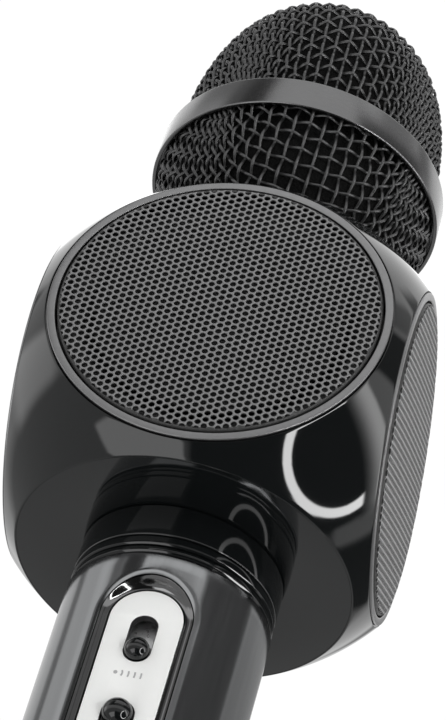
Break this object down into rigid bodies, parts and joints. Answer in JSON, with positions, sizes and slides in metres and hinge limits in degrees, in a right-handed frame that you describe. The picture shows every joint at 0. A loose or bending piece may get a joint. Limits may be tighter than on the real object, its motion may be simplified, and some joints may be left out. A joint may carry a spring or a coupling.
{
  "type": "karaoke microphone",
  "caption": "Cordless karaoke microphone with a wire-mesh head, a rounded cube speaker body with round grilles and a handle with slider controls.",
  "frame": {"origin": "centre of the flat end of the handle, on which the microphone stands upright", "axes": "+Z along the microphone's axis towards the head, -Y out of the face that carries the control strip, +X to the right seen from that side"},
  "size_m": [0.0766, 0.0766, 0.2764],
  "materials": {
    "gloss_black": "polished",
    "bezel_metal": "satin anodised",
    "grille_metal": "satin",
    "head_wire": "satin",
    "band_metal": "satin anodised",
    "handle_metal": "polished anodised",
    "panel_white": "semi-gloss",
    "foam": "open-cell foam",
    "cone_paper": "matt",
    "matte_black": "fine matt texture",
    "steel": "zinc plated",
    "rubber": "matt",
    "circuit_board": "solder resist",
    "cell_wrap": "shrink wrap",
    "lamp_window": "frosted"
  },
  "bodies": {
    "microphone": {"capsule": "steel", "capsule_cradle": "rubber", "capsule_lead": "rubber", "speaker_housing": "gloss_black", "top_plate": "gloss_black", "bottom_plate": "gloss_black", "bezel_front": "bezel_metal", "bezel_right": "bezel_metal", "bezel_back": "bezel_metal", "bezel_left": "bezel_metal", "grille_front": "grille_metal", "grille_right": "grille_metal", "grille_back": "grille_metal", "grille_left": "grille_metal", "driver_frame_front": "matte_black", "driver_frame_back": "matte_black", "driver_magnet_front": "steel", "driver_magnet_back": "steel", "radiator_frame_left": "matte_black", "radiator_frame_right": "matte_black", "neck_sleeve": "gloss_black", "neck_nut": "steel", "neck_ring": "gloss_black", "collar_ring": "gloss_black", "handle_tube": "handle_metal", "panel_bezel": "handle_metal", "control_panel": "panel_white", "echo_pot": "steel", "volume_pot": "steel", "music_pot": "steel", "power_switch": "matte_black", "previous_switch": "matte_black", "play_switch": "matte_black", "next_switch": "matte_black", "status_window": "lamp_window", "main_board": "circuit_board", "battery_cell": "cell_wrap", "battery_holder": "matte_black", "end_cap": "matte_black", "charge_port": "steel", "audio_jack": "matte_black", "cap_screw_left": "steel", "cap_screw_right": "steel"},
    "head": {"head_mesh_upper": "head_wire", "head_mesh_lower": "head_wire", "head_band": "band_metal", "head_collar": "matte_black", "foam_liner": "foam"},
    "front_cone": {"driver_cone_front": "cone_paper"},
    "back_cone": {"driver_cone_back": "cone_paper"},
    "left_radiator": {"bass_radiator_left": "rubber"},
    "right_radiator": {"bass_radiator_right": "rubber"},
    "echo": {"echo_knob": "gloss_black"},
    "volume": {"volume_knob": "gloss_black"},
    "music": {"music_knob": "gloss_black"},
    "power": {"power_button": "gloss_black"},
    "previous": {"previous_button": "gloss_black"},
    "play": {"play_button": "gloss_black"},
    "next": {"next_button": "gloss_black"}
  },
  "joints": [
    {"name": "head_lift", "type": "slide", "parent": "microphone", "child": "head", "axis": [0, 0, 1], "range_m": [0, 0.06]},
    {"name": "front_cone_travel", "type": "slide", "parent": "microphone", "child": "front_cone", "axis": [0, -1, 0], "range_m": [-0.0012, 0.0012], "stiffness_N_per_m": 800},
    {"name": "back_cone_travel", "type": "slide", "parent": "microphone", "child": "back_cone", "axis": [0, 1, 0], "range_m": [-0.0012, 0.0012], "stiffness_N_per_m": 800},
    {"name": "left_radiator_travel", "type": "slide", "parent": "microphone", "child": "left_radiator", "axis": [-1, 0, 0], "range_m": [-0.0012, 0.0012], "stiffness_N_per_m": 600},
    {"name": "right_radiator_travel", "type": "slide", "parent": "microphone", "child": "right_radiator", "axis": [1, 0, 0], "range_m": [-0.0012, 0.0012], "stiffness_N_per_m": 600},
    {"name": "echo_slide", "type": "slide", "parent": "microphone", "child": "echo", "axis": [0, 0, 1], "range_m": [0, 0.0055]},
    {"name": "volume_slide", "type": "slide", "parent": "microphone", "child": "volume", "axis": [0, 0, 1], "range_m": [-0.0062, 0]},
    {"name": "music_slide", "type": "slide", "parent": "microphone", "child": "music", "axis": [0, 0, 1], "range_m": [-0.0028, 0.0028]},
    {"name": "power_press", "type": "slide", "parent": "microphone", "child": "power", "axis": [0, 1, 0], "range_m": [0, 0.0005], "stiffness_N_per_m": 2500},
    {"name": "previous_press", "type": "slide", "parent": "microphone", "child": "previous", "axis": [0, 1, 0], "range_m": [0, 0.0005], "stiffness_N_per_m": 2500},
    {"name": "play_press", "type": "slide", "parent": "microphone", "child": "play", "axis": [0, 1, 0], "range_m": [0, 0.0005], "stiffness_N_per_m": 2500},
    {"name": "next_press", "type": "slide", "parent": "microphone", "child": "next", "axis": [0, 1, 0], "range_m": [0, 0.0005], "stiffness_N_per_m": 2500}
  ]
}
